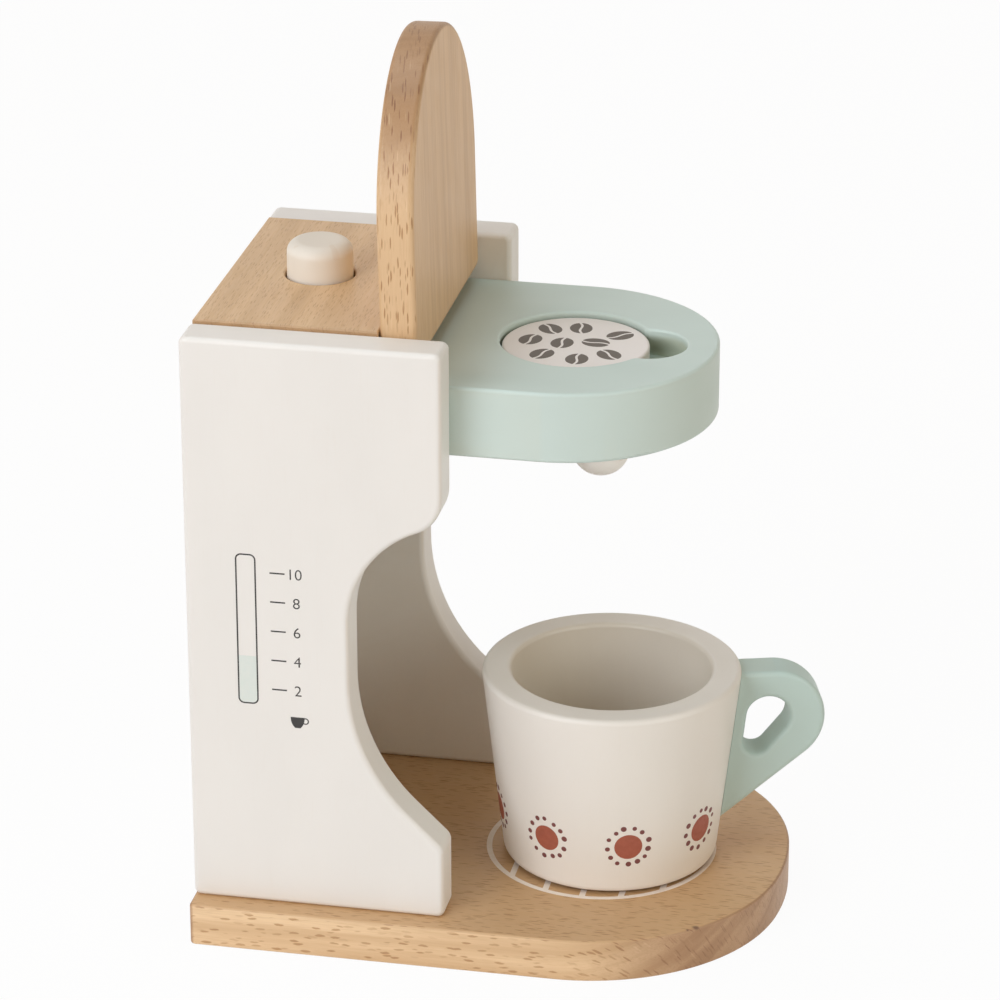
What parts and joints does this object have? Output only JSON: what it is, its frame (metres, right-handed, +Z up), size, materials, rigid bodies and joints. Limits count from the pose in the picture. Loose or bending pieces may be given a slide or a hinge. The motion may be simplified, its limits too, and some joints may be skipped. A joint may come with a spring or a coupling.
{
  "type": "toy coffee maker",
  "caption": "Wooden toy coffee maker: bow-front base, two side panels, round-nosed head with lift-out pod and spout, arched hinged lid, sprung button and a handled cup.",
  "frame": {"origin": "middle of the base board's underside", "axes": "+Z up; -Y is the front, where the cup stands; +X is the right-hand side seen from the front"},
  "size_m": [0.0958, 0.1343, 0.2018],
  "materials": {
    "beech": "clear-lacquered beech with short flecks, satin",
    "dowel_beech": "bare beech, matte",
    "cream_paint": "warm white paint on wood, satin",
    "sage_paint": "pale sage paint on wood, satin",
    "cup_paint": "cream paint on turned wood, satin",
    "pod_paint": "cream paint on wood, satin",
    "screw_steel": "zinc-plated",
    "pin_steel": "plain steel",
    "spring_steel": "spring wire"
  },
  "bodies": {
    "stand": {"base_board": "beech", "left_side_panel": "cream_paint", "right_side_panel": "cream_paint", "back_panel": "cream_paint", "top_block": "beech", "brew_head": "sage_paint", "head_dowels": "dowel_beech", "block_dowels": "dowel_beech", "back_panel_dowels": "dowel_beech", "side_panel_screws": "screw_steel", "back_panel_screws": "screw_steel", "spout": "cream_paint", "button_spring": "spring_steel", "lid_pin_left": "pin_steel", "lid_pin_right": "pin_steel"},
    "lid": {"lid": "beech"},
    "button": {"brew_button": "cream_paint"},
    "pod": {"coffee_pod": "pod_paint"},
    "cup": {"cup_body": "cup_paint", "cup_handle": "sage_paint", "cup_handle_dowels": "dowel_beech"}
  },
  "joints": [
    {"name": "lid_hinge", "type": "hinge", "parent": "stand", "child": "lid", "pos_m": [0, 0.0181, 0.13839], "axis": [1, 0, 0], "range_deg": [0, 92.4]},
    {"name": "button_press", "type": "slide", "parent": "stand", "child": "button", "axis": [0, 0, -1], "range_m": [0, 0.0035], "stiffness_N_per_m": 600, "springref_m": -0.003, "deforming": ["button_spring"]},
    {"name": "pod_lift", "type": "slide", "parent": "stand", "child": "pod", "axis": [0, 0, 1], "range_m": [0, 0.03]},
    {"name": "cup_lift_out", "type": "slide", "parent": "stand", "child": "cup", "axis": [0, -0.9063, 0.4226], "range_m": [0, 0.1]}
  ]
}
